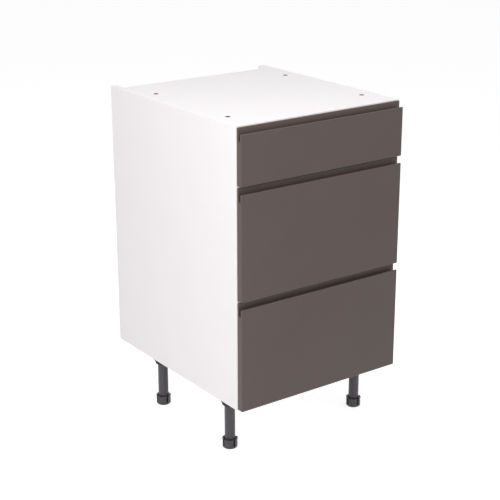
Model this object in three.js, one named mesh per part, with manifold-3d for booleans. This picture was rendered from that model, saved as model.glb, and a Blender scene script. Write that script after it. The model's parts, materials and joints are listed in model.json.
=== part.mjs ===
// Kitchen base cabinet with one shallow and two deep drawers, handleless J-pull fronts and four
// screw-adjusted legs. Millimetres, +X to the right, -Y to the front, +Z up. The origin is on the
// floor, in the middle of the cabinet's width and of its depth over the fronts.

import * as THREE from "three";
import { mergeVertices } from "three/addons/utils/BufferGeometryUtils.js";
import Module from "manifold-3d";

const wasm = await Module();
wasm.setup();

// Fits: the gap between pieces that touch, and the play between pieces that slide.
const SEAT = 0.3;
const SLIDE_PLAY = 1;

// Carcass boards.
const CARCASS_WIDTH = 500;
const CARCASS_HEIGHT = 720;
const CARCASS_DEPTH = 570;
const BOARD = 18;
const BACK_BOARD = 8;
const BACK_GROOVE_DEPTH = 8;
const SERVICE_VOID = 50;
const GROOVE_LAND = 10;
const FIXING_HOLE = 12;

// Legs: where they stand, then the socket, the tube and the foot.
const LEG_HEIGHT = 150;
const LEG_FROM_SIDE = 42;
const LEG_FROM_FRONT = 93;
const LEG_FROM_REAR = 157;
const FLANGE_DIAMETER = 72;
const FLANGE_THICKNESS = 4;
const FLANGE_EDGE_BREAK = 1;
const SLEEVE_DIAMETER = 39.5;
const SLEEVE_LENGTH = 28;
const SLEEVE_ROOF = 4;
const GUSSET_THICKNESS = 2.6;
const GUSSET_RIM = 3;
const GUSSET_TOE = 5;
const SPIGOT_LENGTH = 15;
const SOCKET_SCREW_HOLE = 4.6;
const SOCKET_SCREW_MARGIN = 7;
const TUBE_DIAMETER = 27.5;
const TUBE_WALL = 2.2;
const TUBE_CHAMFER = 1;
const TUBE_NUT = 12;
const SPINDLE_DIAMETER = 12;
const SPINDLE_LENGTH = 58;
const THREAD_PLAY = 0.4;
const FOOT_DIAMETER = 39;
const FOOT_RIM_DIAMETER = 41;
const FOOT_RIM_HEIGHT = 2;
const FOOT_FLARE = 3;
const FOOT_HEIGHT = 26;
const FOOT_FLOOR = 4;
const FOOT_CHAMFER = 3;
const FOOT_BORE = 30.4;
const FOOT_SLOT = 5;
const FOOT_SLOT_SILL = 7;
const FOOT_SCREW_IN = 10.5;

// Drawer fronts and their J-pull profile.
const FRONT_THICKNESS = 18;
const FRONT_STANDOFF = 1;
const FRONT_SIDE_REVEAL = 1;
const FRONT_END_REVEAL = 2.5;
const FRONT_GAP = 4.5;
const SHALLOW_FRONT = 140;
const JPULL_WEB = 4;
const JPULL_GROOVE = 8.5;
const JPULL_LIP_DROP = 14;
const JPULL_FINGER_DEPTH = 20;
const FACE_RADIUS = 2.2;
const LIP_RADIUS = 2.6;
const REAR_RADIUS = 0.8;
const WEB_RADIUS = 1.5;

// Full-extension runners: folded steel sections, and how they hang on the side panel.
const STEEL = 1.2;
const RUNNER_LENGTH = 500;
const RUNNER_SETBACK = 3;
const RUNNER_RISE = 19;
const WALL_PLATE_HEIGHT = 44;
const TRACK_FROM_WALL = 8;
const TRACK_WIDTH = 21.5;
const TRACK_HEIGHT = 12;
const TRACK_SLOT = 6.5;
const TRACK_SPACING = 8.4;
const MIDDLE_WEB = 2.4;
const MIDDLE_FLANGE = 4;
const MIDDLE_LIP = 7;
const MIDDLE_LENGTH = 460;
const MIDDLE_SETBACK = 8;
const RUNNER_SCREW_HOLE = 5;
const RUNNER_SCREW_HEIGHT = 38;
const RUNNER_SCREW_PLACES = [34, 258, 450];

// Drawer boxes: double-walled steel sides with board bases and backs.
const SIDE_CLEARANCE = 1.7;
const SIDE_WIDTH = 14;
const SIDE_BELOW_FRONT = 24.6;
const SIDE_SKIRT_END = 24;
const SKIRT_CLEARANCE = 1.5;
const SHELF_RISE = 8;
const SHELF_WIDTH = 13;
const DRAWER_BOARD = 16;
const BACK_BELOW_SIDE = 1.4;
const DEEP_BACK_BELOW_FRONT = 69;
const BRACKET_STEEL = 1.5;
const BRACKET_REACH = 46;
const BRACKET_WIDTH = 25;
const BRACKET_BOTTOM = 46;
const BRACKET_BELOW_SIDE = 12.4;
const BRACKET_SCREW_HOLE = 4.6;
const BRACKET_SCREW_MARGIN = 8;
const BRACKET_SCREW_INSET = 6;
const UPRIGHT_DEPTH = 24;
const UPRIGHT_BOTTOM = 45;
const UPRIGHT_STEEL = 1.6;
const RAIL_DIAMETER = 10;
const RAIL_COLLAR_DIAMETER = 14.5;
const RAIL_COLLAR_LENGTH = 9;
const RAIL_CHAMFER = 1;
const RAIL_BELOW_BACK = 43;

// Fineness of curves.
const FILLET_STEPS = 3;
const CAP_STEPS = 8;
const ROUND_STEPS = 24;
const HOLE_STEPS = 12;

// Sizes that follow from those above.
const DEPTH_OVERALL = CARCASS_DEPTH + FRONT_STANDOFF + FRONT_THICKNESS;
const CARCASS_TOP = LEG_HEIGHT + CARCASS_HEIGHT;
const INNER_HALF = CARCASS_WIDTH / 2 - BOARD;
const BACK_FACE = CARCASS_DEPTH - SERVICE_VOID - BACK_BOARD;
const PANEL_DEPTH = CARCASS_DEPTH - SERVICE_VOID + SEAT + GROOVE_LAND;
const FRONT_WIDTH = CARCASS_WIDTH - 2 * FRONT_SIDE_REVEAL;
const FRONT_STACK = CARCASS_HEIGHT - 2 * FRONT_END_REVEAL - 2 * FRONT_GAP;
const DEEP_FRONT = (FRONT_STACK - SHALLOW_FRONT) / 2;
const RUNNER_HEIGHT = 2 * TRACK_HEIGHT + TRACK_SPACING;
const DRAWER_REAR = RUNNER_SETBACK + RUNNER_LENGTH;
const SIDE_TOP = SHALLOW_FRONT - RUNNER_RISE - SIDE_BELOW_FRONT;
const SHALLOW_BACK_TOP = SIDE_TOP - BACK_BELOW_SIDE;
const DEEP_BACK_TOP = DEEP_FRONT - RUNNER_RISE - DEEP_BACK_BELOW_FRONT;
const BRACKET_TOP = SIDE_TOP - BRACKET_BELOW_SIDE;
const RAIL_HEIGHT = DEEP_BACK_TOP - RAIL_BELOW_BACK;
const BEHIND_FRONT = SEAT - FRONT_STANDOFF;
const SIDE_OUTER = SEAT + STEEL + SIDE_CLEARANCE;
const SIDE_INNER = SIDE_OUTER + SIDE_WIDTH;
const SKIRT_FROM_WALL = TRACK_FROM_WALL + TRACK_WIDTH + SKIRT_CLEARANCE;
const BASE_HALF = INNER_HALF - SKIRT_FROM_WALL - STEEL - SEAT;
const BASE_BOTTOM = SHELF_RISE + STEEL + SEAT;
const BASE_TOP = BASE_BOTTOM + DRAWER_BOARD;
const LEG_X = CARCASS_WIDTH / 2 - LEG_FROM_SIDE;
const LEG_ROWS = {
  front: LEG_FROM_FRONT,
  rear: CARCASS_DEPTH - LEG_FROM_REAR,
};
const HANDS = { left: -1, right: 1 };
const QUARTER_TURNS = [0, Math.PI / 2, Math.PI, (3 * Math.PI) / 2];

// Finishes.
const WHITE_BOARD = [0xf3f1ef, 0.45, 0];
const GREY_WRAP = [0x5d5450, 0.5, 0];
const BLACK_PLASTIC = [0x3d3a3c, 0.4, 0];
const PAINTED_STEEL = [0x8f9294, 0.4, 0.3];
const ZINC_STEEL = [0xb9bdc1, 0.35, 0.9];

// ---------------------------------------------------------------- solids and meshes

// The closed solid of a geometry, with shared corners merged and slivers at poles dropped.
function solidOf(geometry) {
  const bare = geometry.clone();
  bare.deleteAttribute("normal");
  bare.deleteAttribute("uv");
  const merged = mergeVertices(bare);
  const corners = merged.index.array;
  const kept = [];
  for (let i = 0; i < corners.length; i += 3) {
    const [a, b, c] = corners.slice(i, i + 3);
    if (a !== b && b !== c && c !== a) {
      kept.push(a, b, c);
    }
  }
  return new wasm.Manifold(
    new wasm.Mesh({
      numProp: 3,
      vertProperties: new Float32Array(merged.attributes.position.array),
      triVerts: new Uint32Array(kept),
    }),
  );
}

// The geometry of a closed solid.
function geometryOf(solid) {
  const { vertProperties, triVerts } = solid.getMesh();
  const geometry = new THREE.BufferGeometry();
  geometry.setAttribute("position", new THREE.BufferAttribute(vertProperties, 3));
  geometry.setIndex(new THREE.BufferAttribute(triVerts, 1));
  geometry.computeVertexNormals();
  return geometry;
}

// A solid with every one of the tools cut away.
function cutAll(solid, tools) {
  return tools.reduce((left, tool) => left.subtract(tool), solid);
}

function makeMesh(name, shape, [color, roughness, metalness]) {
  const geometry = shape.isBufferGeometry ? shape : geometryOf(shape);
  const material = new THREE.MeshStandardMaterial({ color, roughness, metalness });
  const mesh = new THREE.Mesh(geometry, material);
  mesh.name = name;
  return mesh;
}

// ---------------------------------------------------------------- outlines

// An outline through corners [x, y, radius], each rounded by its own radius.
function roundedOutline(corners) {
  const count = corners.length;
  const points = [];
  corners.forEach(([x, y, radius], i) => {
    const here = new THREE.Vector2(x, y);
    if (!radius) {
      points.push(here);
      return;
    }
    const before = corners[(i + count - 1) % count];
    const after = corners[(i + 1) % count];
    const toBefore = new THREE.Vector2(before[0] - x, before[1] - y).normalize();
    const toAfter = new THREE.Vector2(after[0] - x, after[1] - y).normalize();
    const halfAngle = Math.acos(toBefore.dot(toAfter)) / 2;
    const towards = toBefore.clone().add(toAfter).normalize();
    const centre = here.clone().addScaledVector(towards, radius / Math.sin(halfAngle));
    const reach = radius / Math.tan(halfAngle);
    const start = here.clone().addScaledVector(toBefore, reach).sub(centre);
    const end = here.clone().addScaledVector(toAfter, reach).sub(centre);
    const sweep = Math.atan2(start.cross(end), start.dot(end));
    for (let step = 0; step <= FILLET_STEPS; step += 1) {
      const turned = start.clone().rotateAround(new THREE.Vector2(), (sweep * step) / FILLET_STEPS);
      points.push(turned.add(centre));
    }
  });
  return new THREE.Shape(points);
}

// The outline of a steel sheet folded along the middle of its thickness.
function foldedSheet(path, thickness) {
  const left = [];
  const right = [];
  path.forEach((point, i) => {
    const into = point.clone().sub(path[Math.max(i - 1, 0)]).normalize();
    const out = path[Math.min(i + 1, path.length - 1)].clone().sub(point).normalize();
    const along = into.clone().add(out).normalize();
    const across = new THREE.Vector2(-along.y, along.x);
    const flank = i === 0 ? out : into;
    const spread = thickness / 2 / Math.abs(across.dot(new THREE.Vector2(-flank.y, flank.x)));
    left.push(point.clone().addScaledVector(across, spread));
    right.unshift(point.clone().addScaledVector(across, -spread));
  });
  return new THREE.Shape([...left, ...right]);
}

// ---------------------------------------------------------------- extrusions and revolves

// A shape drawn in X and Y, pulled up from one height to another.
function pullUp(shape, bottom, top) {
  const geometry = new THREE.ExtrudeGeometry(shape, { depth: top - bottom, bevelEnabled: false });
  return geometry.translate(0, 0, bottom);
}

// A shape drawn in X and Z, pulled back from one depth to another.
function pullBack(shape, front, rear) {
  const geometry = new THREE.ExtrudeGeometry(shape, { depth: rear - front, bevelEnabled: false });
  return geometry.rotateX(Math.PI / 2).translate(0, rear, 0);
}

// A shape drawn in Y and Z, pulled from one side to the other.
function pullAcross(shape, left, right) {
  const geometry = new THREE.ExtrudeGeometry(shape, { depth: right - left, bevelEnabled: false });
  return geometry.rotateX(Math.PI / 2).rotateZ(Math.PI / 2).translate(left, 0, 0);
}

// A plain block between two corners.
function block(x0, x1, y0, y1, z0, z1) {
  const geometry = new THREE.BoxGeometry(x1 - x0, y1 - y0, z1 - z0);
  return geometry.translate((x0 + x1) / 2, (y0 + y1) / 2, (z0 + z1) / 2);
}

// A profile of [radius, height] pairs turned round a vertical axis.
function turned(profile) {
  const points = profile.map(([radius, height]) => new THREE.Vector2(radius, height));
  return new THREE.LatheGeometry(points, ROUND_STEPS).rotateX(Math.PI / 2);
}

// An upright round drill that passes right through from one height to another.
function drill(diameter, x, y, bottom, top) {
  const geometry = new THREE.CylinderGeometry(diameter / 2, diameter / 2, top - bottom, HOLE_STEPS);
  return solidOf(geometry.rotateX(Math.PI / 2).translate(x, y, (bottom + top) / 2));
}

// ---------------------------------------------------------------- carcass

// The groove that takes the back panel's edge, as a block to cut away.
function backGroove(x0, x1, z0, z1) {
  return solidOf(block(x0, x1, BACK_FACE - SEAT, BACK_FACE + BACK_BOARD + SEAT, z0, z1));
}

// The right-hand side panel: full depth, with the back panel's groove in its inner face.
function sidePanel() {
  const board = block(INNER_HALF, CARCASS_WIDTH / 2, 0, CARCASS_DEPTH, LEG_HEIGHT, CARCASS_TOP);
  const groove = backGroove(
    INNER_HALF - BOARD,
    INNER_HALF + BACK_GROOVE_DEPTH,
    LEG_HEIGHT + BOARD - BACK_GROOVE_DEPTH,
    CARCASS_TOP - BOARD + BACK_GROOVE_DEPTH,
  );
  return solidOf(board).subtract(groove);
}

// A base or top panel: between the sides, drilled over each leg, with a groove cut into its
// inner face from one height to another.
function crossPanel(bottom, grooveBottom, grooveTop) {
  const half = INNER_HALF - SEAT;
  const board = block(-half, half, 0, PANEL_DEPTH, bottom, bottom + BOARD);
  const groove = backGroove(-INNER_HALF, INNER_HALF, grooveBottom, grooveTop);
  const holes = Object.values(LEG_ROWS).flatMap((y) =>
    Object.values(HANDS).map((hand) =>
      drill(FIXING_HOLE, hand * LEG_X, y, bottom - BOARD, bottom + 2 * BOARD),
    ),
  );
  return cutAll(solidOf(board), [groove, ...holes]);
}

// The back panel, whose four edges sit in the grooves.
function backPanel() {
  const half = INNER_HALF + BACK_GROOVE_DEPTH - SEAT;
  const lift = BOARD - BACK_GROOVE_DEPTH + SEAT;
  return block(
    -half,
    half,
    BACK_FACE,
    BACK_FACE + BACK_BOARD,
    LEG_HEIGHT + lift,
    CARCASS_TOP - lift,
  );
}

function makeCarcass() {
  const carcass = new THREE.Group();
  const side = sidePanel();
  for (const [hand, sign] of Object.entries(HANDS)) {
    const panel = makeMesh(`side_panel_${hand}`, side, WHITE_BOARD);
    panel.scale.x = sign;
    carcass.add(panel);
  }
  const floor = LEG_HEIGHT + BOARD;
  const ceiling = CARCASS_TOP - BOARD;
  const base = crossPanel(LEG_HEIGHT, floor - BACK_GROOVE_DEPTH, floor + BOARD);
  const top = crossPanel(ceiling, ceiling - BOARD, ceiling + BACK_GROOVE_DEPTH);
  carcass.add(makeMesh("base_panel", base, WHITE_BOARD));
  carcass.add(makeMesh("top_panel", top, WHITE_BOARD));
  carcass.add(makeMesh("back_panel", backPanel(), WHITE_BOARD));
  return carcass;
}

// ---------------------------------------------------------------- legs

// The socket under the base panel: spigot, flange, and a sleeve stiffened by four gussets.
function legSocket() {
  const flangeBottom = -SEAT - FLANGE_THICKNESS;
  const flangeRadius = FLANGE_DIAMETER / 2;
  const sleeveRadius = SLEEVE_DIAMETER / 2;
  const spigotRadius = FIXING_HOLE / 2 - SEAT;
  const boreRadius = TUBE_DIAMETER / 2 + SEAT;
  const roof = flangeBottom - SLEEVE_ROOF;
  const body = turned([
    [0, roof],
    [boreRadius, roof],
    [boreRadius, -SLEEVE_LENGTH],
    [sleeveRadius, -SLEEVE_LENGTH],
    [sleeveRadius, flangeBottom],
    [flangeRadius - FLANGE_EDGE_BREAK, flangeBottom],
    [flangeRadius, flangeBottom + FLANGE_EDGE_BREAK],
    [flangeRadius, -SEAT],
    [spigotRadius, -SEAT],
    [spigotRadius, SPIGOT_LENGTH],
    [0, SPIGOT_LENGTH],
  ]);
  const wallMiddle = (boreRadius + sleeveRadius) / 2;
  const toeRadius = sleeveRadius + FLANGE_EDGE_BREAK;
  const gussetSection = new THREE.Shape([
    new THREE.Vector2(wallMiddle, -SLEEVE_LENGTH + GUSSET_TOE),
    new THREE.Vector2(toeRadius, -SLEEVE_LENGTH + GUSSET_TOE),
    new THREE.Vector2(flangeRadius - GUSSET_RIM, flangeBottom - FLANGE_EDGE_BREAK),
    new THREE.Vector2(flangeRadius - GUSSET_RIM, -SEAT - FLANGE_THICKNESS / 2),
    new THREE.Vector2(wallMiddle, -SEAT - FLANGE_THICKNESS / 2),
  ]);
  const gusset = pullBack(gussetSection, -GUSSET_THICKNESS / 2, GUSSET_THICKNESS / 2);
  const screwCircle = flangeRadius - SOCKET_SCREW_MARGIN;
  let socket = solidOf(body);
  for (const turn of QUARTER_TURNS) {
    socket = socket.add(solidOf(gusset.clone().rotateZ(turn)));
    const x = screwCircle * Math.cos(turn + Math.PI / 4);
    const y = screwCircle * Math.sin(turn + Math.PI / 4);
    socket = socket.subtract(drill(SOCKET_SCREW_HOLE, x, y, -SLEEVE_LENGTH, SPIGOT_LENGTH));
  }
  return socket;
}

// The tube: a push fit in the socket, with the foot's nut moulded into its lower end.
function legTube() {
  const radius = TUBE_DIAMETER / 2;
  const bore = radius - TUBE_WALL;
  const nutBore = SPINDLE_DIAMETER / 2 + THREAD_PLAY;
  const bottom = FOOT_FLOOR + FOOT_SCREW_IN;
  const top = LEG_HEIGHT - 2 * SEAT - FLANGE_THICKNESS - SLEEVE_ROOF;
  return turned([
    [nutBore, bottom],
    [radius - TUBE_CHAMFER, bottom],
    [radius, bottom + TUBE_CHAMFER],
    [radius, top],
    [bore, top],
    [bore, bottom + TUBE_NUT],
    [nutBore, bottom + TUBE_NUT],
    [nutBore, bottom],
  ]);
}

// The foot: a cup with a flared rim, slotted into four grips, round an upright spindle.
function legFoot() {
  const radius = FOOT_DIAMETER / 2;
  const rimRadius = FOOT_RIM_DIAMETER / 2;
  const boreRadius = FOOT_BORE / 2;
  const spindleRadius = SPINDLE_DIAMETER / 2;
  const spindleTop = FOOT_FLOOR + SPINDLE_LENGTH;
  const rimBottom = FOOT_HEIGHT - FOOT_RIM_HEIGHT;
  const cup = turned([
    [0, 0],
    [radius - FOOT_CHAMFER, 0],
    [radius, FOOT_CHAMFER],
    [radius, rimBottom - FOOT_FLARE],
    [rimRadius, rimBottom],
    [rimRadius, FOOT_HEIGHT],
    [boreRadius + FOOT_RIM_HEIGHT, FOOT_HEIGHT],
    [boreRadius, rimBottom],
    [boreRadius, FOOT_FLOOR],
    [spindleRadius, FOOT_FLOOR],
    [spindleRadius, spindleTop - TUBE_CHAMFER],
    [spindleRadius - TUBE_CHAMFER, spindleTop],
    [0, spindleTop],
  ]);
  const inside = boreRadius - SLIDE_PLAY / 2;
  const slots = QUARTER_TURNS.map((turn) => {
    const slot = block(
      inside,
      FOOT_RIM_DIAMETER,
      -FOOT_SLOT / 2,
      FOOT_SLOT / 2,
      FOOT_SLOT_SILL,
      2 * FOOT_HEIGHT,
    );
    return solidOf(slot.rotateZ(turn));
  });
  return cutAll(solidOf(cup), slots);
}

function makeLegs() {
  const legs = new THREE.Group();
  const socketShape = legSocket();
  const tubeShape = legTube();
  const footShape = legFoot();
  for (const [row, y] of Object.entries(LEG_ROWS)) {
    for (const [hand, sign] of Object.entries(HANDS)) {
      const leg = new THREE.Group();
      leg.position.set(sign * LEG_X, y, 0);
      const socket = makeMesh(`leg_socket_${row}_${hand}`, socketShape, BLACK_PLASTIC);
      socket.position.z = LEG_HEIGHT;
      leg.add(socket);
      leg.add(makeMesh(`leg_tube_${row}_${hand}`, tubeShape, BLACK_PLASTIC));
      leg.add(makeMesh(`leg_foot_${row}_${hand}`, footShape, BLACK_PLASTIC));
      legs.add(leg);
    }
  }
  return legs;
}

// ---------------------------------------------------------------- runners
//
// Sections are drawn for the right-hand side, in X and in height over the runner's underside.
// The middle member is a beam whose flanges run in two tracks: one opens upwards and is folded
// out of the cabinet member, and the drawer member is the other, which opens downwards.

// The X of a point so far in from the side panel's inner face.
function inFromWall(distance) {
  return INNER_HALF - distance;
}

// The X of the middle of both tracks.
const TRACK_MIDDLE = inFromWall(TRACK_FROM_WALL + TRACK_WIDTH / 2);

// The track's section from one slot lip round to the other, opening towards `open`.
function trackPath(back, open) {
  const half = (TRACK_WIDTH - STEEL) / 2;
  const slot = TRACK_SLOT / 2;
  const floor = back + (open * STEEL) / 2;
  const lip = back + open * (TRACK_HEIGHT - STEEL / 2);
  return [
    new THREE.Vector2(TRACK_MIDDLE - slot, lip),
    new THREE.Vector2(TRACK_MIDDLE - half, lip),
    new THREE.Vector2(TRACK_MIDDLE - half, floor),
    new THREE.Vector2(TRACK_MIDDLE + half, floor),
    new THREE.Vector2(TRACK_MIDDLE + half, lip),
    new THREE.Vector2(TRACK_MIDDLE + slot, lip),
  ];
}

// The member screwed to the cabinet: a track with a floor that reaches the wall plate.
function cabinetMember() {
  const rear = RUNNER_SETBACK + RUNNER_LENGTH;
  const track = pullBack(foldedSheet(trackPath(0, 1), STEEL), RUNNER_SETBACK, rear);
  const plateMiddle = inFromWall(SEAT + STEEL / 2);
  const platePath = [
    new THREE.Vector2(TRACK_MIDDLE, STEEL / 2),
    new THREE.Vector2(plateMiddle, STEEL / 2),
    new THREE.Vector2(plateMiddle, WALL_PLATE_HEIGHT),
  ];
  const plate = pullBack(foldedSheet(platePath, STEEL), RUNNER_SETBACK, rear);
  const radius = RUNNER_SCREW_HOLE / 2;
  const holes = RUNNER_SCREW_PLACES.map((y) => {
    const pin = new THREE.CylinderGeometry(radius, radius, BOARD, HOLE_STEPS);
    pin.rotateZ(Math.PI / 2).translate(plateMiddle, RUNNER_SETBACK + y, RUNNER_SCREW_HEIGHT);
    return solidOf(pin);
  });
  return cutAll(solidOf(plate).add(solidOf(track)), holes);
}

// The beam between the two tracks, with a lipped flange along each edge.
function middleMember() {
  const half = TRACK_WIDTH / 2 - STEEL - SLIDE_PLAY;
  const web = MIDDLE_WEB / 2;
  const lower = TRACK_HEIGHT / 2;
  const upper = RUNNER_HEIGHT - TRACK_HEIGHT / 2;
  const outer = (at, side) => at + (side * MIDDLE_LIP) / 2;
  const inner = (at, side) => at + (side * MIDDLE_FLANGE) / 2;
  const lipDepth = half - STEEL;
  const rightHalf = [
    [lipDepth - STEEL, inner(lower, -1)],
    [lipDepth, outer(lower, -1)],
    [half, outer(lower, -1)],
    [half, outer(lower, 1)],
    [lipDepth, outer(lower, 1)],
    [lipDepth - STEEL, inner(lower, 1)],
    [web, inner(lower, 1)],
    [web, inner(upper, -1)],
    [lipDepth - STEEL, inner(upper, -1)],
    [lipDepth, outer(upper, -1)],
    [half, outer(upper, -1)],
    [half, outer(upper, 1)],
    [lipDepth, outer(upper, 1)],
    [lipDepth - STEEL, inner(upper, 1)],
  ];
  const leftHalf = rightHalf.map(([x, z]) => [-x, z]).reverse();
  const points = [...rightHalf, ...leftHalf].map(([x, z]) => new THREE.Vector2(TRACK_MIDDLE + x, z));
  const front = RUNNER_SETBACK + MIDDLE_SETBACK;
  return pullBack(new THREE.Shape(points), front, front + MIDDLE_LENGTH);
}

// The member that carries the drawer's steel side.
function drawerMember() {
  const section = foldedSheet(trackPath(RUNNER_HEIGHT, -1), STEEL);
  return pullBack(section, RUNNER_SETBACK, RUNNER_SETBACK + RUNNER_LENGTH);
}

// ---------------------------------------------------------------- drawer fronts

// A front: the J-pull profile pulled across its width, with its upright edges rounded.
function drawerFront(height) {
  const rear = -FRONT_STANDOFF;
  const face = rear - FRONT_THICKNESS;
  const webFace = rear - JPULL_WEB;
  const lipBack = webFace - JPULL_GROOVE;
  const lipTop = height - JPULL_LIP_DROP;
  const grooveBottom = lipTop - JPULL_FINGER_DEPTH;
  const grooveRadius = JPULL_GROOVE / 2 - SEAT / 2;
  const profile = roundedOutline([
    [rear, 0, REAR_RADIUS],
    [face, 0, FACE_RADIUS],
    [face, lipTop, LIP_RADIUS],
    [lipBack, lipTop, LIP_RADIUS],
    [lipBack, grooveBottom, grooveRadius],
    [webFace, grooveBottom, grooveRadius],
    [webFace, height, WEB_RADIUS],
    [rear, height, REAR_RADIUS],
  ]);
  const half = FRONT_WIDTH / 2;
  const plan = roundedOutline([
    [-half, rear, REAR_RADIUS],
    [half, rear, REAR_RADIUS],
    [half, face, FACE_RADIUS],
    [-half, face, FACE_RADIUS],
  ]);
  const bar = solidOf(pullAcross(profile, -FRONT_WIDTH, FRONT_WIDTH));
  return bar.intersect(solidOf(pullUp(plan, -BOARD, height + BOARD)));
}

// ---------------------------------------------------------------- drawer boxes

// A steel side: a double wall whose inner leaf steps over the runner and carries the base.
function steelSide() {
  const skirt = inFromWall(SKIRT_FROM_WALL + STEEL / 2);
  const shelf = SHELF_RISE + STEEL / 2;
  const step = RUNNER_HEIGHT + SEAT + STEEL / 2;
  const innerLeaf = inFromWall(SIDE_INNER - STEEL / 2);
  const outerLeaf = inFromWall(SIDE_OUTER + STEEL / 2);
  const capRadius = (outerLeaf - innerLeaf) / 2;
  const capMiddle = (outerLeaf + innerLeaf) / 2;
  const capHeight = SIDE_TOP - STEEL / 2 - capRadius;
  const path = [
    new THREE.Vector2(skirt - SHELF_WIDTH, shelf),
    new THREE.Vector2(skirt, shelf),
    new THREE.Vector2(skirt, step),
    new THREE.Vector2(innerLeaf, step),
  ];
  for (let i = 0; i <= CAP_STEPS; i += 1) {
    const angle = Math.PI * (1 - i / CAP_STEPS);
    const x = capMiddle + capRadius * Math.cos(angle);
    path.push(new THREE.Vector2(x, capHeight + capRadius * Math.sin(angle)));
  }
  path.push(new THREE.Vector2(outerLeaf, SIDE_SKIRT_END));
  const front = BEHIND_FRONT + BRACKET_STEEL + SEAT;
  return pullBack(foldedSheet(path, STEEL), front, DRAWER_REAR);
}

// A deep drawer's side, with the folded upright that holds the back and the gallery rail.
function steelSideWithUpright() {
  const front = DRAWER_REAR - UPRIGHT_DEPTH;
  const inset = STEEL / 3;
  const section = new THREE.Shape(
    [
      [SIDE_OUTER + inset, DRAWER_REAR],
      [SIDE_OUTER + inset, front],
      [SIDE_INNER - inset, front],
      [SIDE_INNER - inset, DRAWER_REAR],
      [SIDE_INNER - inset - UPRIGHT_STEEL, DRAWER_REAR],
      [SIDE_INNER - inset - UPRIGHT_STEEL, front + UPRIGHT_STEEL],
      [SIDE_OUTER + inset + UPRIGHT_STEEL, front + UPRIGHT_STEEL],
      [SIDE_OUTER + inset + UPRIGHT_STEEL, DRAWER_REAR],
    ].map(([distance, y]) => new THREE.Vector2(inFromWall(distance), y)),
  );
  const upright = pullUp(section, UPRIGHT_BOTTOM, DEEP_BACK_TOP);
  return solidOf(steelSide()).add(solidOf(upright));
}

// The base board, which lies on the shelves of both sides and meets the front.
function drawerBase() {
  return block(-BASE_HALF, BASE_HALF, BEHIND_FRONT, DRAWER_REAR, BASE_BOTTOM, BASE_TOP);
}

// The back board, which stands on the base between the sides and is notched over their steps.
function drawerBack(top) {
  const wide = inFromWall(SIDE_INNER + SEAT);
  const step = RUNNER_HEIGHT + 2 * SEAT + STEEL;
  const outline = new THREE.Shape(
    [
      [-BASE_HALF, BASE_TOP + SEAT],
      [BASE_HALF, BASE_TOP + SEAT],
      [BASE_HALF, step],
      [wide, step],
      [wide, top],
      [-wide, top],
      [-wide, step],
      [-BASE_HALF, step],
    ].map(([x, z]) => new THREE.Vector2(x, z)),
  );
  return pullBack(outline, DRAWER_REAR - DRAWER_BOARD, DRAWER_REAR);
}

// The bracket that joins a side to the front: a screwed face plate and a tongue in the side.
function frontBracket() {
  const outer = SIDE_OUTER + STEEL + SEAT;
  const rear = BEHIND_FRONT + BRACKET_STEEL;
  const section = new THREE.Shape(
    [
      [outer, BEHIND_FRONT],
      [outer + BRACKET_WIDTH, BEHIND_FRONT],
      [outer + BRACKET_WIDTH, rear],
      [outer + BRACKET_STEEL, rear],
      [outer + BRACKET_STEEL, BRACKET_REACH],
      [outer, BRACKET_REACH],
    ].map(([distance, y]) => new THREE.Vector2(inFromWall(distance), y)),
  );
  const plate = solidOf(pullUp(section, BRACKET_BOTTOM, BRACKET_TOP));
  const screwX = inFromWall(outer + BRACKET_WIDTH - BRACKET_SCREW_INSET);
  const radius = BRACKET_SCREW_HOLE / 2;
  const heights = [BRACKET_BOTTOM + BRACKET_SCREW_MARGIN, BRACKET_TOP - BRACKET_SCREW_MARGIN];
  const holes = heights.map((z) => {
    const pin = new THREE.CylinderGeometry(radius, radius, BOARD, HOLE_STEPS);
    return solidOf(pin.translate(screwX, rear, z));
  });
  return cutAll(plate, holes);
}

// A gallery rail: a round rod with a collar at each end, from the front to the upright.
function galleryRail() {
  const rod = RAIL_DIAMETER / 2;
  const collar = RAIL_COLLAR_DIAMETER / 2;
  const rear = DRAWER_REAR - UPRIGHT_DEPTH - SEAT;
  const length = rear - BEHIND_FRONT;
  const rail = turned([
    [0, 0],
    [collar, 0],
    [collar, RAIL_COLLAR_LENGTH - RAIL_CHAMFER],
    [collar - RAIL_CHAMFER, RAIL_COLLAR_LENGTH],
    [rod, RAIL_COLLAR_LENGTH],
    [rod, length - RAIL_COLLAR_LENGTH],
    [collar - RAIL_CHAMFER, length - RAIL_COLLAR_LENGTH],
    [collar, length - RAIL_COLLAR_LENGTH + RAIL_CHAMFER],
    [collar, length],
    [0, length],
  ]);
  const middle = inFromWall((SIDE_OUTER + SIDE_INNER) / 2);
  return rail.rotateX(Math.PI / 2).translate(middle, rear, RAIL_HEIGHT);
}

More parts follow.
